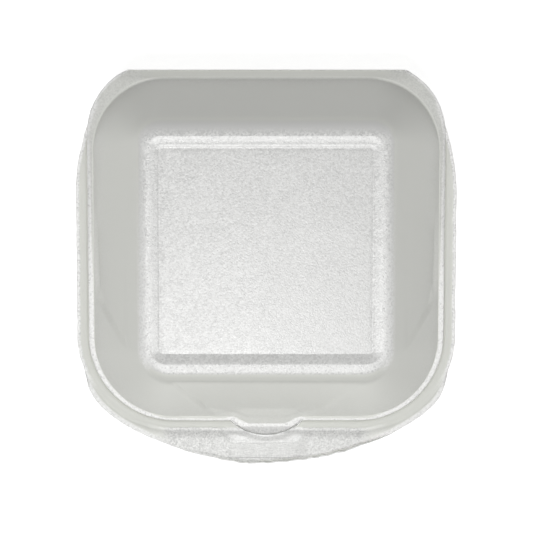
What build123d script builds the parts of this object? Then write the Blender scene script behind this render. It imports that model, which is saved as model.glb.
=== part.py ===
from build123d import *
from math import atan2, degrees, hypot
import os

# Whole box, in millimetres: +Z up, hinge crease at the back (+Y), latch at the front (-Y)
box_width = 150.0           # across the base's ledge
box_depth = 156.0           # hinge crease to the tip of the front lip
box_height = 76.0           # table to the top of the lid's frame
seam_height = 40.0          # the lid's rim sits on the ledge at this height
foam = 2.0                  # thickness of the foam sheet
overrun = 3.0               # how far cutting shapes reach past the surface they cut

# Ledge of the base and rim of the lid, seen from above
ledge_margin = 4.8          # ledge that shows outside the lid's rim
lip_reach = 13.4            # front lip past the ledge, on the centre line
rim_side = 2.1              # flat of the lid's rim outside the dome at the sides
rim_front = 1.5             # flat of the lid's rim outside the dome at the front
hinge_land = 3.2            # flat of the rim between the dome and the crease
front_corner_radius = 34.0  # lid's rim, front corners
back_corner_radius = 27.5   # lid's rim, back corners
back_trim = 2.75            # depth of the rounded back that the straight crease cuts off
flank_start_set = 48.0      # from the crease to where the ledge's sides begin to curve in
flank_end_set = 19.0        # from the crease to where they meet the corners of the lid's rim

# Lid: dome, frame and panel
dome_run = 20.0             # how far the dome's walls lean in from the rim to the top
dome_back_radius = 28.5     # foot of the dome, back corners
frame_round = 5.2           # rounding from the wall over to the frame
frame_side = 8.5            # frame's outer edge to the panel, left and right
frame_front = 9.4
frame_back = 6.5
panel_corner_radius = 1.4
panel_recess = 0.7          # panel below the top of the frame
panel_step_run = 2.6        # slope of the step down to the panel
panel_edge_round = 0.7
rim_foot_round = 0.9        # hollow where the dome meets the rim

# Lid: shallow flats pressed into the front and side walls
flat_depth = 0.45
flat_low = 4.5              # lower edge above the rim
side_flat_high = 25.5       # upper edges above the rim
front_flat_high = 29.0
side_flat_low_half = 20.5
side_flat_high_half = 38.0
front_flat_low_half = 22.0
front_flat_high_half = 35.5

# Base: tray, foot ring and floor
base_shoulder = 0.8         # tray wall inside the foot of the dome, at the ledge
tray_run = 20.0             # how far the tray's walls lean in from the ledge to the foot
foot_round = 5.0
foot_side = 8.4             # foot's outer edge to the raised floor, left and right
foot_end = 7.6              # foot's outer edge to the raised floor, front and back
floor_corner_radius = 1.4
floor_lift = 2.2            # raised floor above the foot ring
floor_step_run = 1.5
least_radius = 0.4          # corners never go sharper than this

# Hinge crease, thinned from the outside of both halves
crease_web = 0.45           # foam left on each side of the seam
crease_run = 1.9

# Front lip of the base
lip_drop = 1.6              # lip below the ledge
lip_radius = 96.0           # curve of the lip's edge
lip_root = 9.0              # how far the lip's ends run back beside the ledge

# Latch: the lid's tab hangs in a half-moon slot of the base
tab_half_width = 14.7
tab_reach = 6.4             # half-moon past the lid's rim
tab_thickness = 1.6
tab_root_gap = 0.45         # tab behind the slot's straight side
slot_gap = 0.45             # clearance round the tab's curve
slot_root = 0.25            # straight side of the slot in front of the rim
neck_reach = 2.9            # neck that carries the tab, past the rim
neck_set = 3.3              # neck narrower than the tab, each side
neck_taper = 2.5            # neck narrower at its tip, each side
collar_width = 1.1          # collar round the slot, level with the ledge
pad_lift = 0.5              # pad in front of the slot, above the lip
pad_set = 2.2               # front of the pad behind the lip's edge
pad_side = 0.4              # pad wider than the tab at its back, each side
pad_taper = 0.9             # pad narrower at its front, each side

# Places that follow from the sizes above
hinge_y = box_depth / 2
lip_tip_y = -box_depth / 2
ledge_half = box_width / 2
ledge_front_y = lip_tip_y + lip_reach
rim_half = ledge_half - ledge_margin
rim_front_y = ledge_front_y + ledge_margin
rim_top = seam_height + foam
flank_start = hinge_y - flank_start_set
flank_end = hinge_y - flank_end_set
ledge_under = seam_height - foam
lip_top = seam_height - lip_drop
lip_under = lip_top - foam
slot_y = rim_front_y - slot_root
tab_root_y = slot_y - tab_root_gap
tab_tip_y = rim_front_y - tab_reach
tab_radius = (tab_half_width ** 2 + tab_reach ** 2) / (2 * tab_reach)
tab_centre_y = tab_tip_y + tab_radius
neck_root_half = tab_half_width - neck_set
neck_tip_half = neck_root_half - neck_taper
pad_back_half = tab_half_width + pad_side
pad_front_half = pad_back_half - pad_taper

# A section is half width, front, back, front corner radius, back corner radius
rim_section = (rim_half, rim_front_y, hinge_y + back_trim, front_corner_radius, back_corner_radius)
dome_foot = (
    rim_half - rim_side,
    rim_front_y + rim_front,
    hinge_y - hinge_land,
    front_corner_radius - rim_side,
    dome_back_radius,
)
dome_middle = (dome_foot[1] + dome_foot[2]) / 2
dome_height = box_height - rim_top


def grown(section, amount):
    half_width, front_y, back_y, front_radius, back_radius = section
    return (
        half_width + amount,
        front_y - amount,
        back_y + amount,
        max(front_radius + amount, least_radius),
        max(back_radius + amount, least_radius),
    )


def set_in(section, side, front, back, radius):
    half_width, front_y, back_y, _, _ = section
    return (half_width - side, front_y + front, back_y - back, radius, radius)


def outline(section, z):
    half_width, front_y, back_y, front_radius, back_radius = section
    face = Pos(0, (front_y + back_y) / 2) * Rectangle(2 * half_width, back_y - front_y)
    face = fillet(face.vertices().group_by(Axis.Y)[0], front_radius)
    face = fillet(face.vertices().group_by(Axis.Y)[-1], back_radius)
    return Pos(0, 0, z) * face


def tapered(section, from_z, to_z, run):
    # block that leans in by run on its way from one height to the other
    rise = to_z - from_z
    lean = degrees(atan2(run, abs(rise)))
    return extrude(outline(section, from_z), abs(rise), dir=(0, 0, rise / abs(rise)), taper=lean)


def slab(face, low_z, high_z):
    return extrude(Pos(0, 0, low_z) * face, high_z - low_z, dir=(0, 0, 1))


def plan(*points):
    return make_face(Polyline(*points, close=True))


def across(half_length, *points):
    # bar along X from points given as (y, z)
    face = make_face(Polyline(*[(0, y, z) for y, z in points], close=True))
    return extrude(face, half_length, dir=(1, 0, 0), both=True)


def inside(section, run, rise, past):
    # section one sheet thickness inside a leaning wall, past the section's own height and outwards
    slope = run / rise
    return grown(section, slope * past - foam * hypot(1, slope))


def top_edges(solid):
    return solid.faces().sort_by(Axis.Z)[-1].edges()


def bottom_edges(solid):
    return solid.faces().sort_by(Axis.Z)[0].edges()


def panel_section():
    top = grown(dome_foot, -dome_run)
    return set_in(top, frame_side, frame_front, frame_back, panel_corner_radius)


def dome():
    body = tapered(dome_foot, rim_top, box_height, dome_run)
    return fillet(top_edges(body), frame_round)


def dome_hollow():
    ceiling = box_height - foam
    slope = dome_run / dome_height
    mouth = inside(dome_foot, dome_run, dome_height, foam)
    hollow = tapered(mouth, seam_height, ceiling, slope * (ceiling - seam_height))
    hollow = fillet(top_edges(hollow), max(frame_round - foam, least_radius))
    raised = grown(panel_section(), foam / 2 + panel_step_run)
    return hollow - tapered(raised, ceiling, ceiling - panel_recess, panel_step_run)


def panel_pocket():
    edge = grown(panel_section(), panel_step_run)
    return tapered(edge, box_height, box_height - panel_recess, panel_step_run)


def wall_flat(foot, out, along, flat_high, low_half, high_half):
    # shallow trapezium in a sloping wall: foot is a point of the wall at the rim, out points outwards
    slope = Plane(origin=foot, x_dir=along, z_dir=out)
    rise = hypot(out[0], out[1]) / hypot(*out)
    low = flat_low / rise
    high = flat_high / rise
    face = plan((-low_half, low), (low_half, low), (high_half, high), (-high_half, high))
    return extrude(slope * face, flat_depth, both=True)


def dome_flats():
    right = wall_flat((dome_foot[0], dome_middle, rim_top), (dome_height, 0, dome_run), (0, 1, 0),
                      side_flat_high, side_flat_low_half, side_flat_high_half)
    left = mirror(right, about=Plane.YZ)
    front = wall_flat((0, dome_foot[1], rim_top), (0, -dome_height, dome_run), (1, 0, 0),
                      front_flat_high, front_flat_low_half, front_flat_high_half)
    return right + left + front


def crease_groove(side):
    # groove pressed along the crease; side is +1 for the lid and -1 for the base
    start_y = hinge_y - crease_run
    end_y = hinge_y + back_trim + overrun
    deep = seam_height + side * crease_web
    skin = seam_height + side * foam
    clear = skin + side * overrun
    return across(ledge_half, (start_y, skin), (hinge_y, deep), (end_y, deep), (end_y, clear), (start_y, clear))


def behind_crease(face):
    depth = hinge_y - lip_tip_y + overrun
    return face & (Pos(0, hinge_y - depth / 2) * Rectangle(box_width + overrun, depth))


def half_moon(radius, straight_y):
    depth = straight_y - lip_tip_y
    disc = Pos(0, tab_centre_y) * Circle(radius)
    return disc & (Pos(0, straight_y - depth / 2) * Rectangle(box_width, depth))


def latch_tab():
    tab = slab(half_moon(tab_radius, tab_root_y), seam_height - tab_thickness, seam_height)
    neck_y = rim_front_y - neck_reach
    root_y = rim_front_y + rim_front
    neck = plan((-neck_root_half, root_y), (neck_root_half, root_y), (neck_root_half, rim_front_y),
                (neck_tip_half, neck_y), (-neck_tip_half, neck_y), (-neck_root_half, rim_front_y))
    stem = plan((-neck_tip_half, tab_root_y), (neck_tip_half, tab_root_y),
                (neck_tip_half, neck_y), (-neck_tip_half, neck_y))
    return tab + slab(neck, seam_height, rim_top) + slab(stem, seam_height - tab_thickness, rim_top)


def inner_edges(solid, level):
    # edges round the inside of the level-th flat face, counted upwards
    return solid.faces().filter_by(Axis.Z).sort_by(Axis.Z)[level].inner_wires().edges()


def make_lid():
    rim = slab(behind_crease(outline(rim_section, 0)), seam_height, rim_top)
    lid = rim + dome()
    lid = fillet(inner_edges(lid, 1), rim_foot_round)
    lid = lid - panel_pocket()
    lid = fillet(inner_edges(lid, -1), panel_edge_round)
    lid = lid - dome_flats() + latch_tab()
    lid = lid - dome_hollow()
    return lid - crease_groove(1)


def ledge_face():
    flank = Pos(0, flank_start) * Circle(ledge_half)
    flank = flank & (Pos(0, (flank_start + flank_end) / 2) * Rectangle(box_width, flank_end - flank_start))
    sides = outline((ledge_half, ledge_front_y, flank_start, front_corner_radius + ledge_margin, least_radius), 0)
    return behind_crease(outline(rim_section, 0) + sides + flank)


def lip_faces():
    # the lip outside the ledge, and the step wall that joins the two
    root_y = ledge_front_y + lip_root
    zone = Pos(0, (lip_tip_y + root_y) / 2) * Rectangle(box_width, root_y - lip_tip_y)
    disc = Pos(0, lip_tip_y + lip_radius) * Circle(lip_radius)
    ledge = (ledge_half, ledge_front_y, flank_start, front_corner_radius + ledge_margin, least_radius)
    under = outline(grown(ledge, -foam), 0)
    lip = (disc & zone) - under
    step = (outline(ledge, 0) & disc & zone) - under
    return lip, step


def latch_pad():
    # thumb pad on the lip, with a collar round the slot
    back_y = ledge_front_y + foam
    front_y = lip_tip_y + pad_set
    shape = plan((-pad_back_half, back_y), (pad_back_half, back_y), (pad_front_half, front_y),
                 (-pad_front_half, front_y))
    collar = half_moon(tab_radius + slot_gap + collar_width, slot_y)
    return slab(shape, lip_under, lip_top + pad_lift) + slab(collar, lip_under, seam_height)


def tray():
    # outer body and hollow of the tray
    shoulder = grown(dome_foot, -base_shoulder)
    slope = tray_run / ledge_under
    body = fillet(bottom_edges(tapered(shoulder, ledge_under, 0, tray_run)), foot_round)
    mouth = inside(shoulder, tray_run, ledge_under, foam)
    hollow = tapered(mouth, seam_height, foam, slope * (seam_height - foam))
    hollow = fillet(bottom_edges(hollow), max(foot_round - foam, least_radius))
    floor = set_in(grown(shoulder, -tray_run), foot_side, foot_end, foot_end, floor_corner_radius)
    sunk = tapered(grown(floor, floor_step_run), 0, floor_lift, floor_step_run)
    raised = grown(floor, foam / 2 + floor_step_run)
    return body - sunk, hollow - tapered(raised, foam, foam + floor_lift, floor_step_run)


def make_base():
    body, hollow = tray()
    lip, step = lip_faces()
    base = body + slab(ledge_face(), ledge_under, seam_height)
    base = base + slab(step, lip_under, seam_height) + slab(lip, lip_under, lip_top)
    base = base + latch_pad() - hollow
    slot = half_moon(tab_radius + slot_gap, slot_y)
    base = base - slab(slot, lip_under - overrun, seam_height + overrun)
    return base - crease_groove(-1)


os.makedirs("parts", exist_ok=True)
export_step(make_base(), "parts/base.step")
export_step(make_lid(), "parts/lid.step")
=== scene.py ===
import math
from functools import partial

import bmesh
import bpy
import numpy as np
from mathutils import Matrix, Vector, noise


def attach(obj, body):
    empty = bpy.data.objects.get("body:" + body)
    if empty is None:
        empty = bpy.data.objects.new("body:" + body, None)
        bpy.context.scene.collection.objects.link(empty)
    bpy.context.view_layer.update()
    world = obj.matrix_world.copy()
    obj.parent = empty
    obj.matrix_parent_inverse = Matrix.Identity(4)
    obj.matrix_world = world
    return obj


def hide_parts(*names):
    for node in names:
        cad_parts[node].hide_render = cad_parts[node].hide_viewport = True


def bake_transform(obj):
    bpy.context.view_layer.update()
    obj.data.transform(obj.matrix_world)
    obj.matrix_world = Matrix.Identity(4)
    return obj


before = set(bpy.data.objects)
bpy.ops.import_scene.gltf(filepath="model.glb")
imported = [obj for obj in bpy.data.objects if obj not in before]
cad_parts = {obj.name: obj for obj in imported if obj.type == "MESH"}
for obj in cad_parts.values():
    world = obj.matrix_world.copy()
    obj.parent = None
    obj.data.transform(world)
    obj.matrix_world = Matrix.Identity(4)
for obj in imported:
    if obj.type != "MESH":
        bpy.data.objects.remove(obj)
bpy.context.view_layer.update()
scene = bpy.context.scene
print("frame loaded:", sorted(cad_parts))


def addObject(name, data):
    item = bpy.data.objects.new(name, data)
    scene.collection.objects.link(item)
    return item


def nodeTree(owner):
    owner.use_nodes = True
    return owner.node_tree.nodes, owner.node_tree.links


# Camera: above the box, leaning a little towards the hinge
view = {
    "aim": (0.0001, 0.001, 0.040),
    "lean": 5.4,  # degrees
    "distance": 0.650,
    "lens": 111.1, "sensor": 36.0,  # mm
    "clip": (0.01, 20.0),
}


def addCamera():
    lean = math.radians(view["lean"])
    data = bpy.data.cameras.new("photoCamera")
    data.lens = view["lens"]
    data.sensor_width = view["sensor"]
    data.clip_start, data.clip_end = view["clip"]
    camera = addObject("photoCamera", data)
    x, y, z = view["aim"]
    camera.location = (x, y + view["distance"] * math.sin(lean), z + view["distance"] * math.cos(lean))
    camera.rotation_euler = (-lean, 0.0, 0.0)
    scene.camera = camera


# Floor, lamp and sky
stage = {
    "floorSize": 8.0,
    "floorColor": (0.90, 0.90, 0.90, 1.0),
    "floorLift": 0.74,  # lifts the floor to white where it is seen, keeps its shadow
    "keyPlace": (-0.065, -0.275, 1.20),
    "keySize": 0.26,
    "keyPower": 7.5,
    "skyTop": 0.43,
    "skyEdge": 0.10,
}


def addLights():
    data = bpy.data.lights.new("keyLamp", "AREA")
    data.shape = "SQUARE"
    data.size = stage["keySize"]
    data.energy = stage["keyPower"]
    lamp = addObject("keyLamp", data)
    lamp.location = stage["keyPlace"]
    direction = Vector(view["aim"]) - Vector(stage["keyPlace"])
    lamp.rotation_euler = direction.to_track_quat("-Z", "Y").to_euler()
    scene.world = bpy.data.worlds.new("softSky")
    nodes, links = nodeTree(scene.world)
    nodes.clear()
    out = nodes.new("ShaderNodeOutputWorld")
    sky = nodes.new("ShaderNodeBackground")
    coords = nodes.new("ShaderNodeTexCoord")
    split = nodes.new("ShaderNodeSeparateXYZ")
    level = nodes.new("ShaderNodeMapRange")
    level.inputs["To Min"].default_value = stage["skyEdge"]
    level.inputs["To Max"].default_value = stage["skyTop"]
    links.new(coords.outputs["Generated"], split.inputs[0])
    links.new(split.outputs["Z"], level.inputs["Value"])
    links.new(level.outputs["Result"], sky.inputs["Strength"])
    links.new(sky.outputs[0], out.inputs["Surface"])


def addFloor():
    half = stage["floorSize"] / 2
    corners = [(-half, -half, 0), (half, -half, 0), (half, half, 0), (-half, half, 0)]
    mesh = bpy.data.meshes.new("floor")
    mesh.from_pydata(corners, [], [(0, 1, 2, 3)])
    floor = addObject("floor", mesh)
    material = bpy.data.materials.new("paleFloor")
    nodes, links = nodeTree(material)
    nodes.clear()
    out = nodes.new("ShaderNodeOutputMaterial")
    matte = nodes.new("ShaderNodeBsdfDiffuse")
    matte.inputs["Color"].default_value = stage["floorColor"]
    glow = nodes.new("ShaderNodeEmission")
    path = nodes.new("ShaderNodeLightPath")
    seen, seenThrough, lift = [nodes.new("ShaderNodeMath") for _ in range(3)]
    seen.operation = seenThrough.operation = "MAXIMUM"
    lift.operation = "MULTIPLY"
    lift.inputs[1].default_value = stage["floorLift"]
    both = nodes.new("ShaderNodeAddShader")
    links.new(path.outputs["Is Camera Ray"], seen.inputs[0])
    links.new(path.outputs["Is Glossy Ray"], seen.inputs[1])
    links.new(seen.outputs[0], seenThrough.inputs[0])
    links.new(path.outputs["Is Transmission Ray"], seenThrough.inputs[1])
    links.new(seenThrough.outputs[0], lift.inputs[0])
    links.new(lift.outputs[0], glow.inputs["Strength"])
    links.new(matte.outputs[0], both.inputs[0])
    links.new(glow.outputs[0], both.inputs[1])
    links.new(both.outputs[0], out.inputs["Surface"])
    mesh.materials.append(material)


addCamera()
addLights()
addFloor()
print("camera, lamp and floor placed")


# Rings: each one starts at the middle of the front and runs round to the right. Sizes are in mm.
ringCounts = {"front": 72, "frontCorner": 48, "side": 56, "backCorner": 40, "back": 36}  # on each half
meshing = {"weld": 0.00001, "sliver": 0.000005, "sharpAngle": 55}  # metres, degrees
mm = 0.001


def smooth(value, low, high):
    share = np.clip((value - low) / (high - low), 0.0, 1.0)
    return share * share * (3 - 2 * share)


def between(first, second, share):
    return first + (second - first) * share


def roundAt(radius, angle):
    # how far a rounding has gone along and aside
    return radius * math.sin(angle), radius * (1 - math.cos(angle))


def sectionRing(half, front, back, frontRadius, backRadius):
    steps = {name: np.arange(count) / count for name, count in ringCounts.items()}
    frontTurn = -math.pi / 2 + math.pi / 2 * steps["frontCorner"]
    backTurn = math.pi / 2 * steps["backCorner"]
    sideY = front + frontRadius + (back - backRadius - front - frontRadius) * steps["side"]
    x = np.concatenate([
        (half - frontRadius) * steps["front"],
        half - frontRadius + frontRadius * np.cos(frontTurn),
        np.full(len(sideY), half),
        half - backRadius + backRadius * np.cos(backTurn),
        (half - backRadius) * (1 - steps["back"]),
        [0.0],
    ])
    y = np.concatenate([
        np.full(ringCounts["front"], front),
        front + frontRadius + frontRadius * np.sin(frontTurn),
        sideY,
        back - backRadius + backRadius * np.sin(backTurn),
        np.full(ringCounts["back"] + 1, back),
    ])
    turn = np.concatenate([
        np.full(ringCounts["front"], -math.pi / 2), frontTurn, np.zeros(len(sideY)), backTurn,
        np.full(ringCounts["back"] + 1, math.pi / 2),
    ])
    out = np.column_stack([np.cos(turn), np.sin(turn)])
    flip = np.array([-1.0, 1.0])
    points = np.column_stack([x, y])
    points = np.concatenate([points, points[-2:0:-1] * flip])
    out = np.concatenate([out, out[-2:0:-1] * flip])
    return points, out


def ringAt(side, front, back, frontRadius, backRadius):
    # each of side, front and back is (distance out, height); heights blend round the corners
    points, out = sectionRing(side[0], -front[0], back[0], frontRadius, backRadius)
    ends = np.where(out[:, 1] < 0, front[1], back[1])
    height = out[:, 0] ** 2 * side[1] + out[:, 1] ** 2 * ends
    return np.column_stack([points, height])


def flatRing(values, height):
    points = sectionRing(*values)[0]
    return np.column_stack([points, np.full(len(points), height)])


def panelRing(edge, share):
    # the edge's outline drawn in towards its middle
    return between(edge.mean(axis=0), edge, share)


def outward(ring):
    step = np.roll(ring[:, :2], -1, axis=0) - np.roll(ring[:, :2], 1, axis=0)
    out = np.column_stack([step[:, 1], -step[:, 0]])
    return out / np.maximum(np.linalg.norm(out, axis=1), 1e-9)[:, None]


def wobble(ring, pitch, seed):
    return np.array([noise.noise(Vector((x / pitch, y / pitch, z / pitch + seed))) for x, y, z in ring])


def wavy(ring, amount, pitch, seed):
    ring = ring.copy()
    ring[:, 2] += amount * wobble(ring, pitch, seed)
    return ring


def bandFaces(count, bands):
    # quads between rings of equal count
    around = np.arange(count)
    after = np.roll(around, -1)
    faces = []
    for k in range(bands):
        a, b = k * count, (k + 1) * count
        faces += np.column_stack([a + around, b + around, b + after, a + after]).tolist()
    return faces


def addPiece(name, points, faces, layers):
    mesh = bpy.data.meshes.new(name)
    mesh.from_pydata((points * mm).tolist(), [], faces)
    for label, values in layers.items():
        layer = mesh.attributes.new(label, "FLOAT", "POINT")
        layer.data.foreach_set("value", np.asarray(values, np.float32))
    return addObject(name, mesh)


class Shell:
    # rings in order from one middle round the cut edge to the other, with the finish, painted light and
    # painted shade of each
    labels = ("stretch", "edge", "dull", "grain")

    def __init__(self):
        self.rings = []
        self.layers = {label: [] for label in self.labels}

    def add(self, ring, stretch=0.0, edge=0.0, dull=0.0, grain=None):
        self.rings.append(np.array(ring, float))
        grain = 1 - stretch if grain is None else grain
        for label, value in zip(self.labels, (stretch, edge, dull, grain)):
            self.layers[label].append(np.full(len(ring), value, float))

    def build(self, name):
        count, bands = len(self.rings[0]), len(self.rings) - 1
        middles = [self.rings[0].mean(axis=0), self.rings[-1].mean(axis=0)]
        points = np.concatenate(self.rings + [middles])
        around = np.arange(count)
        after = np.roll(around, -1)
        first, last, base = len(points) - 2, len(points) - 1, bands * count
        faces = bandFaces(count, bands)
        faces += np.column_stack([np.full(count, first), around, after]).tolist()
        faces += np.column_stack([np.full(count, last), base + after, base + around]).tolist()
        layers = {label: np.concatenate(rows + [[rows[0].mean(), rows[-1].mean()]])
                  for label, rows in self.layers.items()}
        return addPiece(name, points, faces, layers)


def prism(name, outlines, stretch, edge):
    # closed block from outlines of equal count, with a cap at each end
    count, bands = len(outlines[0]), len(outlines) - 1
    points = np.concatenate(outlines)
    around = np.arange(count)
    faces = bandFaces(count, bands)
    faces.append(around.tolist())
    faces.append((bands * count + around[::-1]).tolist())
    layers = {"stretch": np.full(len(points), stretch), "edge": np.full(len(points), edge)}
    return addPiece(name, points, faces, layers)


def combine(piece, tool, operation):
    step = piece.modifiers.new(operation.lower(), "BOOLEAN")
    step.operation = operation
    step.object = tool
    step.solver = "EXACT"
    bpy.context.view_layer.update()
    joined = bpy.data.meshes.new_from_object(piece.evaluated_get(bpy.context.evaluated_depsgraph_get()))
    piece.modifiers.clear()
    piece.data = joined
    bpy.data.objects.remove(tool)


def soften(piece, material, body, node):
    mesh = piece.data
    work = bmesh.new()
    work.from_mesh(mesh)
    bmesh.ops.remove_doubles(work, verts=work.verts, dist=meshing["weld"])
    bmesh.ops.dissolve_degenerate(work, edges=work.edges, dist=meshing["sliver"])
    bmesh.ops.recalc_face_normals(work, faces=work.faces)
    work.to_mesh(mesh)
    work.free()
    mesh.shade_smooth()
    mesh.set_sharp_from_angle(angle=math.radians(meshing["sharpAngle"]))
    mesh.materials.clear()
    mesh.materials.append(material)
    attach(piece, body)
    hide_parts(node)
    print(piece.name, "faces", len(mesh.polygons))


# Sizes that lid and base share
box = {
    "height": 76.0, "seam": 40.0, "sheet": 2.0,
    "hingeY": 77.96, "creaseRun": 3.2, "creaseWeb": 0.9,
    "creaseFade": (-1.5, -0.3),  # the cut edge ends here, from the hinge
    "rim": (70.2, -60.3, 80.75, 34.0, 27.5),  # half width, front, back, corner radii
    "ledge": (75.0, -64.9, 80.75, 38.8, 27.5),
    "frontCorner": 36.2, "backCorner": 39.6,  # half width less corner radius, all the way up the walls
    "leastRadius": 0.5,
    "gap": 0.05,  # rim and ledge each stop short of the seam by this
    "tabCentreY": -46.12, "tabRadius": 20.08, "tabTipY": -66.2, "tabRootY": -60.5,
    "slotGap": 0.45, "slotY": -60.05, "slotHalf": 14.4, "slotCut": (46.0, 30.0),
    "arcPoints": 49, "linePoints": 26,  # round a half-moon
    "panelWave": (0.10, 21.0),  # height and pitch of the waviness of panel and floor
    "raggedPitch": (9.0, 2.3), "raggedFine": 0.7,  # broad and fine unevenness of the cut edges
}
seam, hingeY = box["seam"], box["hingeY"]
lidLow, ledgeTop = seam + box["gap"], seam - box["gap"]
ledgeUnder = seam - box["sheet"]


def atHinge(ring):
    # the straight crease cuts the rounded back off
    ring = ring.copy()
    ring[:, 1] = np.minimum(ring[:, 1], hingeY)
    return ring


def onCrease(edge):
    return edge[:, 1] > hingeY - 0.01


def keepOnCrease(ring, edge):
    # rows of an edge that lies on the crease stay on it
    ring = atHinge(ring)
    ring[:, 1] = np.where(onCrease(edge), hingeY, ring[:, 1])
    return ring


def pinch(ring, fixedZ, skinZ, side):
    # presses the crease: squeezes heights from the skin towards the seam near the hinge
    ring = ring.copy()
    share = np.clip((ring[:, 1] - (hingeY - box["creaseRun"])) / box["creaseRun"], 0, 1)
    deep = seam + side * box["creaseWeb"]
    here = skinZ + (deep - skinZ) * share
    ring[:, 2] = fixedZ + (ring[:, 2] - fixedZ) * (here - fixedZ) / (skinZ - fixedZ)
    return ring


def ragged(ring, amount, seed):
    # uneven cut edge
    ring = ring.copy()
    broad, fine = box["raggedPitch"]
    shift = amount * (wobble(ring, broad, seed) + box["raggedFine"] * wobble(ring, fine, seed + 7))
    ring[:, :2] += outward(ring) * (shift * ~onCrease(ring))[:, None]
    return ring


def cutEdge(ring):
    # the sheet runs on over the crease, so there is no cut edge along it
    start, end = box["creaseFade"]
    return 1 - smooth(ring[:, 1], hingeY + start, hingeY + end)


# Lid: distances are from the middle, run and rise are those of the step from panel to frame
lid = {
    "side": {"panel": 40.2, "frame": 47.3, "rounding": 5.0, "foot": 67.8,
             "run": 3.6, "rise": 0.30, "hollow": 0.4},
    "front": {"panel": 28.8, "frame": 38.0, "rounding": 5.4, "foot": 58.5,
              "run": 3.9, "rise": 0.95, "hollow": 0.4},
    "back": {"panel": 48.85, "frame": 58.2, "rounding": 8.2, "foot": 74.8,
             "run": 4.2, "rise": 0.42, "hollow": 1.1},
    "panelZ": 75.05, "panelRadius": 1.4, "panelLine": 0.07, "recess": 0.7, "radiusFrom": 0.45,
    "step": ((0.0, 0.0), (0.06, 0.03), (0.12, 0.1), (0.2, 0.2), (0.35, 0.38), (0.5, 0.56), (0.65, 0.73),
             (0.78, 0.87), (0.88, 0.95), (0.95, 0.985), (1.0, 1.0)),
    "backStep": ((0.0, 0.0), (0.06, 0.05), (0.12, 0.16), (0.2, 0.28), (0.35, 0.33), (0.5, 0.39), (0.6, 0.5),
                 (0.7, 0.68), (0.82, 0.86), (0.92, 0.97), (1.0, 1.0)),  # two rises with a ledge between
    "under": ((0.5, 0.0), (0.9, 0.03), (1.3, 0.16), (1.8, 0.38), (2.3, 0.61), (2.8, 0.82), (3.2, 0.93),
              (3.6, 0.98), (3.8, 1.0)),
    "innerRound": 3.2, "mouthRise": 0.7, "mouthEdge": ((0.45, 0.25), (1.0, 0.05)),
    "frameWave": (0.05, 7.0, 1.0), "rimWave": (0.05, 3.0, 5.0), "rimRagged": (0.13, 11.0),
    "rimZ": 42.0, "droop": 0.6, "wideRim": (2.6, 5.0),
    "rimEdge": ((0.35, 2.0), (0.12, 1.9), (0.0, 1.6), (0.05, 1.0), (0.0, 0.5), (0.1, 0.15), (0.4, 0.05)),
    "middleY": 8.25,
    # flats: half lengths at the lower and upper edges; ease makes them shallower upwards, lean to the far end
    "sideFlat": {"depth": 0.85, "high": 26.0, "half": (20.5, 38.0), "ease": 0.85, "lean": 0.7, "crease": 0.7,
                 "softTop": 5.0, "farEnd": (-9.0, 3.0)},
    "frontFlat": {"depth": 0.9, "high": 31.4, "half": (22.0, 36.5), "ease": 0.55, "lean": 0.45, "crease": 1.0,
                  "softTop": 0.8, "farEnd": (-3.0, 1.5)},
    "flatLow": 2.1, "flareFrom": 0.3, "nearEnd": (-0.9, 0.4), "endFade": 7.0, "endHeights": (1.2, 6.0),
    "flatFacing": 0.8, "flatBand": (-0.9, -0.1), "flatLine": (0.2, 1.0),
    "slantIn": 0.4, "slantWide": (0.3, 1.6), "slantFrom": 0.5, "slantTo": (0.25, 0.65),
    # neck over the latch: half widths between which it ends, on the wall, the rim and the base's seat
    "neckOut": 2.7, "neckRise": 6.0,
    "neckWall": (6.6, 13.4), "neckRim": (11.2, 14.9), "neckSeat": (9.0, 11.8),
    "tabInset": 0.4, "tabDroop": 0.35, "tabLevel": 1.6,
    "tabEdge": ((0.5, 0.16), (0.14, 0.02), (0.0, -0.25), (0.0, -1.25), (0.14, -1.5), (0.5, -1.6)),
}
rimZ = lid["rimZ"]

# Finish and painted light of the lid's rows, counted from the crest of the frame; weights run from 0 to 1.
# Pale weights are painted highlights and painted light, shade weights are painted shade
lidFinish = {
    "panelGrain": 0.55, "stepGrain": 0.65, "stepGrainFront": 0.5, "stepEnd": -4, "stepEndFront": -5,
    "skin": (3, 12), "skinFront": (0, 6),
    "grainBack": (-2, 3), "grainSide": (-1, 6), "grainFront": (0, 5),
    "browFrom": (1, 5), "browTo": (9, 14),
    "corner": (4, 14), "cornerDull": (0.35, 0.15),  # front and back
    "sidePaleFrom": (-11, -2), "sidePaleTo": (4, 10), "sidePale": (0.75, 0.2), "sidePaleY": (-20.0, 50.0),
    "frontPaleFrom": (-6, -2), "frontPaleTo": (-1, 2),
    "backPale": (0.3, 1.0, 1.0, 0.8, 0.0, 0.0, 0.3, 0.9, 1.0, 1.0, 0.8, 0.3, 0.0),  # row by row up the step
    "lowerPale": 0.2, "lowerHeight": 18.0, "bandPale": 0.06,
    "backFootPale": 0.25, "backFootHeights": (1.0, 8.0),
    "footDull": (1.0, 0.3), "footRows": (-5, -2), "footY": (35.0, 60.0),  # corners and back
    "lineDull": 0.45, "footSkin": 0.8, "footHeight": 0.35,
    # how far a point has to face a side to take its finish
    "sideFacing": (0.2, 0.8), "frontFacing": (0.3, 0.8), "backFacing": (0.6, 1.0),
    "straightFront": (0.9, 1.0), "straightBack": (0.85, 1.0),
    # rim: pale band along the cut edge, partly whiter cut cells and partly a painted highlight; painted shade
    # on the rest of the rim; and the wide corners at the back
    "edgeBand": (2.1, 3.4), "edgeBandFront": (0.5, 1.2), "edgeBandEnd": (62.0, 68.0),
    "frontFrom": (12.0, 17.0),
    "rimSkin": 0.8, "wideSkin": 0.9, "wideDull": 0.3, "frontDull": 0.6, "wideGrain": 0.8,
    "mouthSkin": 0.2, "insideSkin": (10, 22), "tab": (0.35, 0.8),
}


def straight(start, end, shares):
    return [(between(start[0], end[0], share), between(start[1], end[1], share)) for share in shares]


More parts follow.
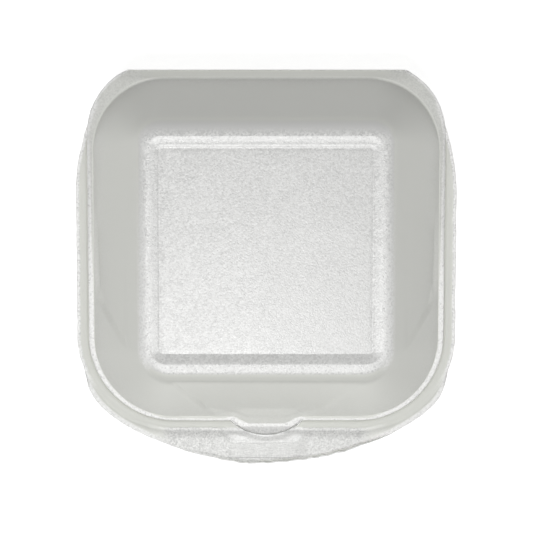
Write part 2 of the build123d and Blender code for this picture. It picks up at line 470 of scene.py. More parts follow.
def shoulder(start, top, radius, turn, shares):
    places = [roundAt(radius, turn * share) for share in shares]
    return [(start + along, top - down) for along, down in places]


def lidProfile(part, steps):
    # outer skin from the panel's edge to the rim
    rounding, foot, hollow = part["rounding"], part["foot"], part["hollow"]
    crest = lid["panelZ"] + part["rise"]
    turn = math.atan2(crest - rimZ, foot - part["frame"])
    start = part["frame"] - rounding * math.tan(turn / 2)
    points = [(part["panel"] + part["run"] * out, lid["panelZ"] + part["rise"] * up) for out, up in steps]
    points[0] = (part["panel"], lid["panelZ"] - lid["panelLine"])
    last = points[-1][0]
    points += [(between(last, start, share), crest) for share in (0.5, 1.0)]
    points += shoulder(start, crest, rounding, turn, np.linspace(0.1, 1.0, 10))
    reach = hollow * math.tan(turn / 2)
    wallEnd = (foot - reach * math.cos(turn), rimZ + reach * math.sin(turn))
    shares = np.concatenate([np.linspace(0.02, 0.88, 34), np.linspace(0.89, 1.0, 12)])
    points += straight(points[-1], wallEnd, shares)
    for share in (0.6, 0.25, 0.0):
        along, up = roundAt(hollow, turn * share)
        points.append((foot + reach - along, rimZ + up))
    return points


def lidUnder(part):
    # inner skin from the panel's edge to the mouth
    slope = (part["foot"] - part["frame"]) / (box["height"] - rimZ)
    turn = math.atan2(1.0, slope)
    ceiling = box["height"] - box["sheet"]
    edge = part["frame"] + slope * box["sheet"] - box["sheet"] * math.hypot(1.0, slope)
    start = edge - lid["innerRound"] * math.tan(turn / 2)
    points = [(part["panel"] + out, ceiling - lid["recess"] * (1 - up)) for out, up in lid["under"]]
    points.append((start, ceiling))
    points += shoulder(start, ceiling, lid["innerRound"], turn, np.linspace(0.15, 1.0, 7))
    mouthZ = seam + lid["mouthRise"]
    mouth = edge + slope * (ceiling - mouthZ)
    points += straight(points[-1], (mouth, mouthZ), np.linspace(0.03, 1.0, 34))
    points += [(mouth + out, seam + up) for out, up in lid["mouthEdge"]]
    return points


def profileRings(profiles, steps):
    # rings of a profile; the panel's own corner radius gives way to the wall's over the crest
    rings = []
    for k, (side, front, back) in enumerate(zip(*profiles)):
        own = lid["panelRadius"] + side[0] - profiles[0][0][0]
        share = smooth(k, steps * lid["radiusFrom"], steps)
        radii = [max(between(own, side[0] - box[corner], share), box["leastRadius"])
                 for corner in ("frontCorner", "backCorner")]
        rings.append(ringAt(side, front, back, *radii))
    return rings


def flatAt(along, height, flat):
    # deepest at the lower edge; from there the wall flares out to the rim
    low, high = lid["flatLow"], flat["high"]
    up = (height - low) / (high - low)
    half = between(*flat["half"], up)
    fade = lid["endFade"] * (1 - smooth(height, *lid["endHeights"]))  # the ends fade just above the rim
    far, near = flat["farEnd"], lid["nearEnd"]
    ends = 1 - np.where(along > 0, smooth(along - half, far[0] - fade, far[1]),
                        smooth(-along - half, near[0] - fade, near[1]))
    ends = ends * (1 - flat["lean"] * np.clip(along / half, -1, 1))
    flare = np.clip((height - lid["flareFrom"]) / (low - lid["flareFrom"]), 0, 1)
    ease = 1 - flat["ease"] * np.clip(up, 0, 1)
    depth = flat["depth"] * (ends * flare * ease * (1 - smooth(height, high - flat["softTop"], high)))
    band = ends * (1 - smooth(height, *[low + place for place in lid["flatBand"]]))
    line = ends * (1 - smooth(np.abs(height - low), *lid["flatLine"]))
    # crease down the near end
    slant = 1 - smooth(np.abs(-along - half + lid["slantIn"]), *lid["slantWide"])
    slant = slant * smooth(height, lid["slantFrom"], low)
    slant = slant * (1 - smooth(height, *[share * high for share in lid["slantTo"]]))
    return depth, band, np.maximum(line, flat["crease"] * slant)


def pressFlats(ring, out):
    # shallow flats in the front and side walls; returns also the band below them and their crease lines
    ring = ring.copy()
    height = ring[:, 2] - rimZ
    onSide, onFront = np.abs(out[:, 0]) > lid["flatFacing"], out[:, 1] < -lid["flatFacing"]
    side = flatAt(ring[:, 1] - lid["middleY"], height, lid["sideFlat"])
    front = flatAt(ring[:, 0], height, lid["frontFlat"])
    depth, band, line = [np.where(onSide, a, 0) + np.where(onFront, b, 0) for a, b in zip(side, front)]
    ring[:, :2] -= out * depth[:, None]
    return ring, band, line


def pushNeck(ring, weight, ends):
    # the wall and rim swell out over the latch
    ring = ring.copy()
    near = (ring[:, 1] < lid["middleY"]) * weight
    ring[:, 1] -= lid["neckOut"] * (1 - smooth(np.abs(ring[:, 0]), *ends)) * near
    return ring


def wallFinish(k, steps, count, ring, out, band, line):
    # stretch, edge (here a painted highlight or painted light), painted shade with more roughness, and grain
    # of one row, from the panel's edge to the foot of the wall
    look = lidFinish
    facing, height = out[:, 1], ring[:, 2] - rimZ
    front, side = np.maximum(-facing, 0) ** 2, np.abs(out[:, 0]) ** 2

    def rows(name):
        return smooth(k - steps, *look[name])

    stretch = between(rows("skin"), rows("skinFront"), front)
    grain = between(1 - rows("grainBack"), 1 - rows("grainSide"), side)
    grain = between(grain, 1 - rows("grainFront"), front)
    onStep = look["stepGrain"] if k - steps < look["stepEnd"] else 1.0
    grain = between(np.minimum(grain, onStep), np.minimum(grain, look["stepGrainFront"]),
                    front * (k - steps < look["stepEndFront"]))
    # pale: painted highlight on the crest of the frame, painted light on the lower wall, the band under the
    # flats and the foot of the back wall
    backPale = look["backPale"][k] if k < steps else 0.0
    sidePale = rows("sidePaleFrom") * (1 - rows("sidePaleTo"))
    sidePale = sidePale * between(*look["sidePale"], smooth(ring[:, 1], *look["sidePaleY"]))
    frontPale = rows("frontPaleFrom") * (1 - rows("frontPaleTo"))
    crest = between(backPale, sidePale, smooth(side, *look["sideFacing"]))
    crest = between(crest, frontPale, smooth(front, *look["frontFacing"]))
    lower = (1 - smooth(height, 0.0, look["lowerHeight"])) * np.where(facing > 0, 1 - facing ** 2, 1.0)
    backFoot = smooth(facing, *look["backFacing"]) * (1 - smooth(height, *look["backFootHeights"]))
    onWall = look["lowerPale"] * lower + look["bandPale"] * band + look["backFootPale"] * backFoot
    # painted shade, with more roughness: a dark band below the crest in front, darker corners, dark crease
    # lines, shade at the foot of the back wall
    brow = front * rows("browFrom") * (1 - rows("browTo"))
    corner = (2 * np.abs(out[:, 0] * facing)) ** 2
    corner = corner * np.where(facing < 0, *look["cornerDull"]) * rows("corner")
    foot = smooth(k - count, *look["footRows"]) * smooth(ring[:, 1], *look["footY"])
    foot = between(*look["footDull"], smooth(facing, *look["straightBack"])) * foot
    dull = np.maximum.reduce([brow, corner, look["lineDull"] * line, foot])
    if height.mean() <= look["footHeight"]:
        stretch = look["footSkin"]
    return stretch, np.maximum(crest, onWall), dull, grain


def addRim(shell, foot, out):
    # from the foot of the wall to the cut edge and round it
    look = lidFinish
    rim = pushNeck(atHinge(flatRing(box["rim"], rimZ)), 1.0, lid["neckRim"])
    # the rim's corners beside the tab stay inside the slot
    arc = np.sqrt(np.maximum((box["tabRadius"] - lid["tabInset"]) ** 2 - rim[:, 0] ** 2, 0))
    inSlot = (np.abs(rim[:, 0]) < box["slotHalf"]) & (rim[:, 1] < lid["middleY"])
    rim[:, 1] = np.where(inSlot, np.maximum(rim[:, 1], box["tabCentreY"] - arc), rim[:, 1])
    rim = ragged(rim, *lid["rimRagged"])
    away = outward(rim)
    width = np.linalg.norm(rim[:, :2] - foot[:, :2], axis=1)
    wide = smooth(width, *lid["wideRim"])
    inFront = smooth(-out[:, 1], *look["straightFront"]) * smooth(np.abs(rim[:, 0]), *look["frontFrom"])
    band = [between(*ends, inFront) for ends in zip(look["edgeBand"], look["edgeBandFront"])]
    for share in (0.06, 0.25, 0.5, 0.8):
        ring = between(foot, rim, share)
        # pale band along the cut edge, narrow along the front: partly whiter cut cells, partly a painted
        # highlight; the rest of the rim gets painted shade
        near = (1 - smooth(width * (1 - share), *band)) * (1 - smooth(ring[:, 1], *look["edgeBandEnd"]))
        ring[:, 2] -= lid["droop"] * share * wide  # the wide back corners droop
        stretch = look["rimSkin"] * (1 - near) * (1 - look["wideSkin"] * wide)
        dull = (1 - near) * (1 - look["wideDull"] * wide) * (1 - look["frontDull"] * inFront)
        grain = np.maximum(near, look["wideGrain"] * wide * (ring[:, 1] > lid["middleY"]))
        shell.add(pinch(wavy(ring, *lid["rimWave"]), lidLow, rimZ, 1), stretch, near, dull, grain)
    for inset, up in lid["rimEdge"]:
        ring = rim.copy()
        ring[:, :2] -= away * inset
        ring = keepOnCrease(ring, rim)
        height = seam + up
        ring[:, 2] = height - lid["droop"] * wide * (height - lidLow) / (rimZ - lidLow)
        shell.add(pinch(ring, lidLow, rimZ, 1), 0.0, cutEdge(ring), 0.0, 1.0)


def makeLid():
    shell = Shell()
    profiles = [lidProfile(lid["side"], lid["step"]), lidProfile(lid["front"], lid["step"]),
                lidProfile(lid["back"], lid["backStep"])]
    steps = len(lid["step"]) + 2
    outer = profileRings(profiles, steps)
    out = sectionRing(*box["rim"])[1]
    wave, pitch = box["panelWave"]
    for share in np.append(np.linspace(0.05, 0.95, 18), 0.985):
        ring = panelRing(outer[0], share)
        ring[:, 2] = lid["panelZ"]
        shell.add(wavy(ring, wave * (1 - share ** 4), pitch, 3.0), 0.0, 0.0, 0.0, lidFinish["panelGrain"])
    for k, ring in enumerate(outer):
        band = line = np.zeros(len(ring))
        if k > steps:
            ring, band, line = pressFlats(ring, out)
            rise = 1 - smooth(ring[:, 2], rimZ, rimZ + lid["neckRise"])
            ring = pushNeck(ring, rise, lid["neckWall"])
        else:
            ring = wavy(ring, *lid["frameWave"])
        finish = wallFinish(k, steps, len(outer), ring, out, band, line)
        shell.add(pinch(ring, lidLow, rimZ, 1), *finish)
    addRim(shell, ring, out)
    inner = profileRings([lidUnder(lid[name]) for name in ("side", "front", "back")], len(lid["under"]) + 1)
    edge = shell.rings[-1]
    for share in (0.25, 0.55, 0.85):
        shell.add(between(edge, inner[-1], share), lidFinish["mouthSkin"])
    for k in reversed(range(len(inner))):
        ring = pressFlats(inner[k], out)[0] if k > len(lid["under"]) else inner[k]
        shell.add(ring, smooth(k, *lidFinish["insideSkin"]))
    for share in np.linspace(0.97, 0.05, 12):
        shell.add(panelRing(inner[0], share))
    piece = shell.build("lid_foam")
    combine(piece, latchTab(), "UNION")
    return piece


def halfMoon(radius, straightY, height):
    # half-moon outline, straight side at the back
    reach = math.asin((box["tabCentreY"] - straightY) / radius)
    turns = np.linspace(math.pi + reach, 2 * math.pi - reach, box["arcPoints"])
    arc = np.column_stack([radius * np.cos(turns), box["tabCentreY"] + radius * np.sin(turns)])
    side = np.linspace(arc[-1, 0], arc[0, 0], box["linePoints"])[1:-1]
    line = np.column_stack([side, np.full(len(side), straightY)])
    plan = np.concatenate([arc, line])
    return np.column_stack([plan, np.full(len(plan), height)])


def latchTab():
    outlines = []
    for inset, up in lid["tabEdge"]:
        ring = halfMoon(box["tabRadius"] - inset, box["tabRootY"] - inset, seam + up)
        if up > -1.0:  # the upper rows droop towards the tip
            out = smooth(-ring[:, 1], lid["tabLevel"] - box["tabRootY"], -box["tabTipY"])
            ring[:, 2] -= lid["tabDroop"] * out
        outlines.append(ring)
    return prism("latch_tab", outlines, *lidFinish["tab"])


# Base: tray walls by their distance in from the shoulder, ledge and lip
tray = {
    "shoulder": (67.3, -57.5, 74.0),  # half width, front, back
    "run": 20.0, "rise": 38.0,
    "floor": (38.9, -29.9, 46.4), "floorRadius": 1.4,
    "floorZ": 4.2, "footZ": 2.0,
    "floorStep": ((0.4, 0.0), (0.8, -0.05), (1.15, -0.35), (1.6, -1.0), (2.05, -1.7), (2.4, -2.08),
                  (2.8, -2.2)),
    "underStep": ((1.9, 0.0), (1.55, 0.05), (1.2, 0.38), (0.75, 1.0), (0.3, 1.66), (-0.05, 2.1),
                  (-0.45, 2.2)),
    "innerRound": 3.0, "footRound": 5.0,
    "mouthDrop": 0.8, "mouthEdge": ((0.3, 0.2, 0.5), (0.8, 0.0, 0.3)),  # out, drop, stretch
    # seat of the lid's rim and ledge: place or share of the way out, depth
    "groove": ((-0.35, 0.0), (-0.1, 0.55), (0.3, 0.6), (0.55, 0.35), (0.85, 0.12), (1.4, 0.04)),
    "ledgeDip": ((0.45, 0.08), (0.65, 0.16)), "ledgeWave": (0.03, 4.0, 2.0), "ledgeRagged": (0.28, 31.0),
    "grooveRoom": (0.5, 2.5), "leastMargin": 3.0,  # the groove dies out where the ledge is narrow
    "flankY": 30.0, "flankEnd": 59.0,
    # lip: an arc in plan that runs out round the front corners
    "lipCentreY": 31.7, "lipRadius": 110.0, "lipZ": 38.4, "lipFade": (35.0, 61.0), "cornerDrop": 0.12,
    "lipBulge": 0.4, "bulgeEnds": (9.0, 24.0), "lipWave": (0.07, 2.2, 9.0),
    "tear": ((0.5, 14.0, 41.0), (0.4, 3.0, 47.0)),  # amount, pitch and seed of the uneven cut edge
    # widths over which the lip begins, falls, tears, loses its corner look and is grooved, and its full width
    "lipStart": (0.3, 3.0), "lipDrop": (2.0, 6.0), "tearFrom": (1.0, 6.0), "cornerEnd": (3.5, 6.5),
    "grooveFrom": (2.5, 5.0), "fullLip": 7.6,
    "brow": ((-1.3, 0.0, 1.3, 0.02, 0.2), (-0.5, 0.03, 0.5, 0.0, 0.7), (-0.1, 0.1, 0.18, 0.03, 1.0)),
    "lipFall": ((0.15, 0.2), (0.5, 0.5), (1.0, 0.84), (1.6, 1.12), (2.3, 1.34), (3.1, 1.47), (4.0, 1.54)),
    "lipFlat": (4.4, 2.2),  # from the ledge, and in from the cut edge
    "edgeGroove": ((1.9, 0.02, 0.3), (1.6, 0.15, 0.2), (1.35, 0.95, 0.0), (1.0, 1.05, 0.0), (0.85, 0.2, 0.4),
                   (0.65, 0.03, 1.0)),  # inset, depth, pale
    "grooveX": (-34.0, 6.0), "grooveDeep": (0.75, 0.5), "grooveWave": (6.0, 53.0),
    "sideFall": (0.1, 0.12), "sideFlat": (0.02, 0.64, 0.4), "grooveSide": 0.85,  # heights at the sides
    "lipEdge": ((0.3, 0.12, 0.0, 0.75, 1.0), (0.1, 0.5, 0.0, 0.6, 1.0), (0.0, 1.2, 0.0, 0.4, 1.0),
                (0.1, 1.7, 0.1, 0.15, 1.0), (0.5, 2.0, 0.4, 0.0, 0.6)),
    "lipUnder": ((0.75, 0.7, 0.1), (0.5, 1.0, 0.0), (0.25, 1.3, 0.0)),
    "lipRoot": ((-0.8, 0.0, 1.6), (-1.7, 0.0, 1.8), (-1.95, 0.2, 1.9), (-2.0, 0.8, 2.0), (-2.0, 1.2, 2.1),
                (-2.2, 1.5, 2.3)),
    # collar round the slot and ribbed thumb pad
    "collar": (21.0, 23.2), "collarZ": 39.4, "meet": 0.3,
    "padLift": 0.5, "crestY": -75.4, "padY": (-62.6, -76.5), "padBack": 15.1, "padFront": 14.2,
    "padSoft": (-3.2, 2.6), "ribPitch": 0.95, "ribHeight": 0.05,
    # outer wall: place and height at its top
    "underLedge": 0.9, "wallBend": (0.25, 37.75), "wallTop": (-0.3, 37.3),
}

# Finish and painted light of the base's rows; the threes are stretch, edge and painted shade (which also adds
# roughness)
trayFinish = {
    "foot": 0.4, "wall": 2.0,  # stretch at the foot and its growth up the wall
    "seat": (0.7, 0.0, 0.7), "groove": (0.9, 0.0, 0.7), "ledge": (0.8, 0.0, 0.6),
    "lipPale": 0.15, "lipDull": 0.15, "padDull": 0.6, "padGrain": 0.5, "grooveDull": 0.9,
    "cornerSkin": 0.8, "cornerDull": 0.6, "cornerGrain": 0.8, "cornerCut": (1.5, 2.4),
    "underLedge": 0.3, "wallBend": 0.6, "slot": (0.2, 0.2),
}
traySlope = tray["run"] / tray["rise"]
trayTurn = math.atan2(1.0, traySlope)


def ledgeRing(height):
    # the ledge's outline: sides curve in to the lid's back corners
    points = sectionRing(*box["ledge"])[0]
    y = np.minimum(points[:, 1], hingeY)
    half, _, back, _, backRadius = box["rim"]
    corner = np.clip(y - (back - backRadius), 0, backRadius)
    rimX = half - backRadius + np.sqrt(np.maximum(backRadius ** 2 - corner ** 2, 0))
    flank = np.sqrt(np.maximum(box["ledge"][0] ** 2 - np.maximum(y - tray["flankY"], 0) ** 2, 0))
    limit = np.maximum(rimX, np.where(y < tray["flankEnd"], flank, 0))
    x = np.sign(points[:, 0]) * np.minimum(np.abs(points[:, 0]), limit)
    return np.column_stack([x, y, np.full(len(x), height)])


def trayRing(offset, height):
    half, front, back = tray["shoulder"]
    half = half + offset
    radii = [max(half - box[corner], box["leastRadius"]) for corner in ("frontCorner", "backCorner")]
    return ringAt((half, height), (-front + offset, height), (back + offset, height), *radii)


def floorRing(offset, height):
    half, front, back = tray["floor"]
    radius = tray["floorRadius"] + max(offset, 0)
    return flatRing((half + offset, front - offset, back + offset, radius, radius), height)


def softMax(first, second):
    # the higher of two, rounded where they meet
    return (first + second + np.sqrt((first - second) ** 2 + tray["meet"] ** 2) - tray["meet"]) / 2


def padLift(ring, height):
    # collar round the slot, level with the ledge, and a ribbed pad in front of it
    x, y = ring[:, 0], ring[:, 1]
    backY, footY = tray["padY"]
    fall = smooth(-y, -tray["crestY"], -footY)
    rib = tray["ribHeight"] * np.sin(2 * math.pi * y / tray["ribPitch"])
    top = tray["lipZ"] + (tray["padLift"] + rib) * (1 - fall)
    share = np.clip((backY - y) / (backY - footY), 0, 1)
    half = between(tray["padBack"], tray["padFront"], share)
    front = (y < backY) * (y > footY)
    pad = (1 - smooth(np.abs(x) - half, *tray["padSoft"])) * front
    height = between(height, softMax(height, top), pad)
    reach = np.hypot(x, y - box["tabCentreY"])
    collar = (1 - smooth(reach, *tray["collar"])) * (y < backY)
    return between(height, softMax(height, tray["collarZ"]), collar), pad


def addInside(shell):
    # floor, inner wall and mouth of the tray
    wave, pitch = box["panelWave"]
    edge = floorRing(0.0, tray["floorZ"])
    for share in np.linspace(0.05, 0.98, 14):
        shell.add(wavy(panelRing(edge, share), wave * (1 - share ** 4), pitch, 23.0))
    for offset, drop in tray["floorStep"]:
        shell.add(floorRing(offset, tray["floorZ"] + drop))
    thick = box["sheet"] * math.hypot(1.0, traySlope)
    innerFoot = -tray["run"] + traySlope * tray["footZ"] - thick  # where inner wall and foot meet
    start = innerFoot - tray["innerRound"] * math.tan(trayTurn / 2)
    for share in np.linspace(0.0, 1.0, 8):
        along, up = roundAt(tray["innerRound"], trayTurn * share)
        shell.add(trayRing(start + along, tray["footZ"] + up), trayFinish["foot"] * share)
    low, lowZ = start + along, tray["footZ"] + up
    mouthZ = seam - tray["mouthDrop"]
    mouth = innerFoot + traySlope * (mouthZ - tray["footZ"])
    for share in np.linspace(0.03, 1.0, 16):
        stretch = min(trayFinish["foot"] + share * trayFinish["wall"], 1.0)
        shell.add(trayRing(between(low, mouth, share), between(lowZ, mouthZ, share)), stretch)
    for out, drop, stretch in tray["mouthEdge"]:
        shell.add(trayRing(mouth + out, ledgeTop - drop), stretch)


def addSeat(shell, ledge):
    # seat of the lid's rim, with a narrow groove round it, and the ledge
    inner = shell.rings[-1]
    seat = pushNeck(atHinge(flatRing(box["rim"], ledgeTop)), 1.0, lid["neckSeat"])
    # the seat, the groove beside it and the ledge take painted shade, with more roughness, from the third of
    # their threes
    for share in (0.3, 0.6, 0.85):
        shell.add(between(inner, seat, share), *trayFinish["seat"])
    margin = np.linalg.norm(ledge[:, :2] - seat[:, :2], axis=1)
    room = smooth(margin, *tray["grooveRoom"])
    for place, depth in tray["groove"]:
        ring = between(seat, ledge, (place / np.maximum(margin, tray["leastMargin"]))[:, None])
        ring[:, 2] = ledgeTop - depth * room
        shell.add(ring, *trayFinish["groove"])
    for share, depth in tray["ledgeDip"]:
        ring = wavy(between(seat, ledge, share), *tray["ledgeWave"])
        ring[:, 2] -= depth * room
        shell.add(ring, *trayFinish["ledge"])


def lipReach(ledge, away):
    # how far the lip stands out from the ledge
    offset = ledge[:, :2] - np.array([0.0, tray["lipCentreY"]])
    along = (offset * away).sum(axis=1)
    gap = tray["lipRadius"] ** 2 - (offset ** 2).sum(axis=1)
    lip = np.where(gap > 0, -along + np.sqrt(np.maximum(along ** 2 + gap, 0)), 0)
    lip = lip * smooth(-ledge[:, 1], *tray["lipFade"])
    tear = sum(amount * wobble(ledge, pitch, seed) for amount, pitch, seed in tray["tear"])
    bulge = tray["lipBulge"] * (1 - smooth(np.abs(ledge[:, 0]), *tray["bulgeEnds"]))
    return np.maximum(lip + (tear + bulge) * smooth(lip, *tray["tearFrom"]), 0)


def addLip(shell, ledge):
    # cut edge of the ledge at the sides and back, lip in front
    look = trayFinish
    away = outward(ledgeRing(ledgeTop))
    lip = lipReach(ledge, away)
    here = smooth(lip, *tray["lipStart"])
    fixed = np.minimum(lip / tray["fullLip"], 1.0)  # fixed widths shrink where the lip is narrow
    fall = between(tray["cornerDrop"], 1.0, smooth(lip, *tray["lipDrop"]))
    lipZ = ledgeTop - (ledgeTop - tray["lipZ"]) * fall
    under = lipZ - box["sheet"]
    cornerLip = here * (1 - smooth(lip, *tray["cornerEnd"]))
    # a groove just inside the cut edge, deepest from the middle to the right
    deep, uneven = tray["grooveDeep"]
    groove = smooth(ledge[:, 0], *tray["grooveX"]) * (deep + uneven * wobble(ledge, *tray["grooveWave"]))
    groove = groove * smooth(lip, *tray["grooveFrom"])
    # rows: out and height on the lip, inset and height at the side, pale (whiter cut edge, and a painted
    # highlight on the brow's rounding)
    rows = [(out, ledgeTop - drop, inset, ledgeTop - sideDrop, pale)
            for out, drop, inset, sideDrop, pale in tray["brow"]]
    sideDrop, sideSlope = tray["sideFall"]
    rows += [(out * fixed, ledgeTop - drop * fall, 0.0, ledgeTop - sideDrop - sideSlope * out, 1.0)
             for out, drop in tray["lipFall"]]
    start, end = tray["lipFlat"][0] * fixed, lip - tray["lipFlat"][1] * fixed
    sideInset, sideDrop, sideRun = tray["sideFlat"]
    rows += [(between(start, end, share), lipZ, sideInset, ledgeTop - sideDrop - share * sideRun, 1.0)
             for share in np.linspace(0.03, 1.0, 32)]
    upper, grooveEnd = len(rows), len(rows) + len(tray["edgeGroove"])
    rows += [(lip - inset * fixed, lipZ - depth * groove, sideInset, ledgeUnder + tray["grooveSide"], pale)
             for inset, depth, pale in tray["edgeGroove"]]
    rows += [(lip - inset * fixed, lipZ - drop, sideInset, ledgeUnder + up, pale)
             for inset, drop, sideInset, up, pale in tray["lipEdge"]]
    rows += [(lip * share, under, inset, ledgeUnder, pale) for share, inset, pale in tray["lipUnder"]]
    rows += [(out, under + up, inset, ledgeUnder, 0.0) for out, up, inset in tray["lipRoot"]]
    for k, (out, lipHeight, inset, sideHeight, pale) in enumerate(rows):
        ring = ledge.copy()
        ring[:, :2] += away * between(-inset, out, here)[:, None]
        ring = keepOnCrease(ring, ledge)
        ring[:, 2] = between(sideHeight, lipHeight, here)
        pad = likeLedge = inGroove = np.zeros(len(ring))
        onLip = np.maximum(pale, cornerLip)
        if k < upper:
            ring[:, 2], pad = padLift(ring, ring[:, 2])
            if k > len(tray["brow"]):
                ring = wavy(ring, *tray["lipWave"])
            # round the corners the ledge's skin and painted shade run on and only the cut edge is pale
            likeLedge = cornerLip * smooth(lip - out, *look["cornerCut"])
            onLip = between(look["lipPale"], 1.0, cornerLip) * (1 - likeLedge)
        elif k < grooveEnd and pale == 0.0:
            inGroove = look["grooveDull"] * groove * here
        # painted shade: on the lip, less on the pad, in the groove inside the cut edge and on the corners
        dull = np.maximum.reduce([look["lipDull"] * here * (1 - look["padDull"] * pad), inGroove,
                                  look["cornerDull"] * likeLedge])
        grain = (1.0 - look["padGrain"] * pad) * (1 - look["cornerGrain"] * likeLedge)
        shell.add(pinch(ring, ledgeTop, ledgeUnder, -1), look["cornerSkin"] * likeLedge,
                  between(pale * cutEdge(ring), onLip, here), dull, grain)


def addOutside(shell):
    # underside of the ledge, outer wall, foot and underside of the floor
    last, root = shell.rings[-1], trayRing(tray["underLedge"], ledgeUnder)
    for share in (0.3, 0.6, 0.85, 1.0):
        shell.add(between(last, root, share), trayFinish["underLedge"])
    shell.add(trayRing(*tray["wallBend"]), trayFinish["wallBend"])
    foot = -tray["run"] - tray["footRound"] * math.tan(trayTurn / 2)
    along, up = roundAt(tray["footRound"], trayTurn)
    top, topZ = tray["wallTop"]
    for share in np.linspace(0.02, 1.0, 16):
        shell.add(trayRing(between(top, foot + along, share), between(topZ, up, share)), 1.0)
    for share in np.linspace(0.9, 0.0, 9):
        along, up = roundAt(tray["footRound"], trayTurn * share)
        shell.add(trayRing(foot + along, up), share)
    for offset, rise in tray["underStep"]:
        shell.add(floorRing(offset, rise))
    edge = shell.rings[-1]
    for share in np.linspace(0.97, 0.05, 12):
        shell.add(panelRing(edge, share))


def makeBase():
    shell = Shell()
    ledge = ragged(ledgeRing(ledgeTop), *tray["ledgeRagged"])
    addInside(shell)
    addSeat(shell, ledge)
    addLip(shell, ledge)
    addOutside(shell)
    piece = shell.build("base_foam")
    radius = box["tabRadius"] + box["slotGap"]
    outlines = [halfMoon(radius, box["slotY"], height) for height in box["slotCut"]]
    combine(piece, prism("slot", outlines, *trayFinish["slot"]), "DIFFERENCE")
    return piece


# Crease: the thin skin that joins lid and base along the hinge line
crease = {
    "half": 54.2, "radius": 0.8, "bulge": 0.3, "turns": 9, "steps": 109,
    "proud": 0.02, "uneven": 0.3, "pitch": 3.0,
    "stretch": 0.8,
}


def makeCrease():
    turns = np.linspace(-math.pi / 2, math.pi / 2, crease["turns"])
    outlines = []
    for x in np.linspace(-crease["half"], crease["half"], crease["steps"]):
        uneven = crease["uneven"] * noise.noise(Vector((x / crease["pitch"], 4.0, 0.0)))
        swell = crease["bulge"] * (1 + uneven)
        y = hingeY + crease["proud"] + swell * np.cos(turns)
        z = seam + crease["radius"] * np.sin(turns)
        outlines.append(np.column_stack([np.full(len(turns), x), y, z]))
    return prism("crease_skin", outlines, crease["stretch"], 0.0)


# Foam finish: pearly cells where the sheet lies flat, a smooth skin where it was drawn down; the rows'
# weights also paint shade and highlights into the colour
foam = {
    "given": {
        "Pale": (0.915, 0.915, 0.90, 1.0),
        "Deep": (0.565, 0.568, 0.556, 1.0),
        "Skin": (0.815, 0.823, 0.77, 1.0),
        # colour painted in for shade
        "Dim": (0.70, 0.707, 0.665, 1.0),
        # colour of whiter cut edges, also used for painted highlights
        "Cut": (0.985, 0.985, 0.97, 1.0),
        "Cells": 1650.0, "Grain Roughness": 0.32, "Skin Roughness": 0.40,
    },
    "fine": 2600.0, "pearl": 2100.0, "broad": 120.0,  # across a metre
    "cloud": 0.3, "skinGain": 3.0, "dullShare": 0.8, "cutLeast": 0.42,  # strengths in the colour
    "cellRoughness": 0.12, "cutRoughness": 0.02, "dullRoughness": 0.3,
    "bump": 0.00012,
    "tilt": 0.4, "dent": 0.15, "pearlHeight": 0.8, "broadHeight": 0.25, "tooth": 0.8,
    "ior": 1.58, "shine": 0.46,  # a pearly skin mirrors more
}


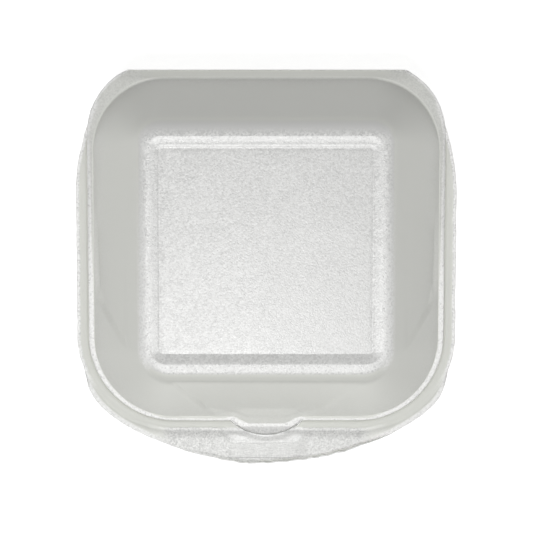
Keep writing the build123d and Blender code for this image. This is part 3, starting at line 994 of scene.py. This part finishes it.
def foamGroup():
    group = bpy.data.node_groups.new("foamCells", "ShaderNodeTree")

    def addSocket(name, where, kind):
        group.interface.new_socket(name=name, in_out=where, socket_type="NodeSocket" + kind)

    for label in Shell.labels:
        addSocket(label.capitalize(), "INPUT", "Float")
    for name, value in foam["given"].items():
        addSocket(name, "INPUT", "Color" if isinstance(value, tuple) else "Float")
    for name, kind in (("Color", "Color"), ("Roughness", "Float"), ("Height", "Float")):
        addSocket(name, "OUTPUT", kind)
    nodes, links = group.nodes, group.links
    given, result = nodes.new("NodeGroupInput").outputs, nodes.new("NodeGroupOutput").inputs
    place = nodes.new("ShaderNodeTexCoord").outputs["Object"]

    def fill(node, *sources):
        for socket, value in zip(node.inputs, sources):
            if isinstance(value, (int, float, tuple)):
                socket.default_value = value
            else:
                links.new(value, socket)

    def math2(operation, first, second, clamp=False):
        node = nodes.new("ShaderNodeMath")
        node.operation = operation
        node.use_clamp = clamp
        fill(node, first, second)
        return node.outputs[0]

    times, plus, minus = [partial(math2, operation) for operation in ("MULTIPLY", "ADD", "SUBTRACT")]

    def vector2(operation, first, second):
        node = nodes.new("ShaderNodeVectorMath")
        node.operation = operation
        fill(node, first, second)
        return node.outputs["Value" if operation == "DOT_PRODUCT" else "Vector"]

    def mixColor(share, first, second):
        node = nodes.new("ShaderNodeMix")
        node.data_type = "RGBA"
        for socket, value in (("Factor", share), (6, first), (7, second)):
            links.new(value, node.inputs[socket])
        return node.outputs[2]

    def mottle(scale, detail):
        node = nodes.new("ShaderNodeTexNoise")
        node.inputs["Scale"].default_value = scale
        node.inputs["Detail"].default_value = detail
        links.new(place, node.inputs["Vector"])
        return node.outputs["Fac"]

    cells = nodes.new("ShaderNodeTexVoronoi")
    cells.feature = "F1"
    links.new(place, cells.inputs["Vector"])
    links.new(given["Cells"], cells.inputs["Scale"])
    tone = nodes.new("ShaderNodeSeparateColor")
    links.new(cells.outputs["Color"], tone.inputs[0])
    tone = tone.outputs
    fine, pearl, broad = mottle(foam["fine"], 2.0), mottle(foam["pearl"], 1.0), mottle(foam["broad"], 3.0)
    grain, edge, dull, stretch = given["Grain"], given["Edge"], given["Dull"], given["Stretch"]
    # colour: each cell its own shade, broad clouds, smooth skin on the drawn walls, painted shade from the
    # dull weight, pale cut edges and painted highlights
    shade = times(minus(tone[0], 0.5), grain)
    cloud = times(times(minus(broad, 0.5), foam["cloud"]), grain)
    color = mixColor(plus(plus(shade, cloud), 0.5, True), given["Pale"], given["Deep"])
    color = mixColor(times(stretch, foam["skinGain"], True), color, given["Skin"])
    # painted shade: darker where the dull weight is high
    color = mixColor(times(dull, foam["dullShare"]), color, given["Dim"])
    # whiter cut edges, and painted highlights where the edge weight marks crests and lower walls
    color = mixColor(times(edge, plus(foam["cutLeast"], tone[2]), True), color, given["Cut"])
    links.new(color, result["Color"])
    # roughness: some cells shine
    rough = times(minus(tone[1], 0.5), times(grain, foam["cellRoughness"]))
    gloss = times(stretch, minus(given["Skin Roughness"], given["Grain Roughness"]))
    rough = plus(plus(rough, gloss), given["Grain Roughness"])
    rough = plus(rough, times(edge, foam["cutRoughness"]))
    links.new(plus(rough, times(dull, foam["dullRoughness"]), True), result["Roughness"])
    # height: each cell tilts its own way, dents between, a fine tooth, torn cells on cut edges
    inCell = vector2("SUBTRACT", place, cells.outputs["Position"])
    lean = vector2("SUBTRACT", cells.outputs["Color"], (0.5, 0.5, 0.5))
    tilt = times(vector2("DOT_PRODUCT", inCell, lean), given["Cells"])
    dent = times(cells.outputs["Distance"], cells.outputs["Distance"])
    height = minus(times(tilt, foam["tilt"]), times(dent, foam["dent"]))
    height = times(plus(height, times(pearl, foam["pearlHeight"])), grain)
    height = plus(height, times(broad, foam["broadHeight"]))
    height = plus(height, times(times(fine, edge), foam["tooth"]))
    links.new(height, result["Height"])
    return group


def foamMaterial(group):
    material = bpy.data.materials.new("whiteFoam")
    nodes, links = nodeTree(material)
    skin = nodes["Principled BSDF"]
    finish = nodes.new("ShaderNodeGroup")
    finish.node_tree = group
    for label in Shell.labels:
        layer = nodes.new("ShaderNodeAttribute")
        layer.attribute_name = label
        links.new(layer.outputs["Fac"], finish.inputs[label.capitalize()])
    for name, value in foam["given"].items():
        finish.inputs[name].default_value = value
    bump = nodes.new("ShaderNodeBump")
    bump.inputs["Distance"].default_value = foam["bump"]
    skin.inputs["IOR"].default_value = foam["ior"]
    skin.inputs["Specular IOR Level"].default_value = foam["shine"]
    links.new(finish.outputs["Color"], skin.inputs["Base Color"])
    links.new(finish.outputs["Roughness"], skin.inputs["Roughness"])
    links.new(finish.outputs["Height"], bump.inputs["Height"])
    links.new(bump.outputs["Normal"], skin.inputs["Normal"])
    return material


whiteFoam = foamMaterial(foamGroup())
soften(makeBase(), whiteFoam, "base", "base")
soften(makeLid(), whiteFoam, "lid", "lid")
creaseSkin = makeCrease()
creaseSkin.data.shade_smooth()
creaseSkin.data.materials.append(whiteFoam)
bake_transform(creaseSkin)
print("foam pieces built")

scene.view_settings.view_transform = "Standard"
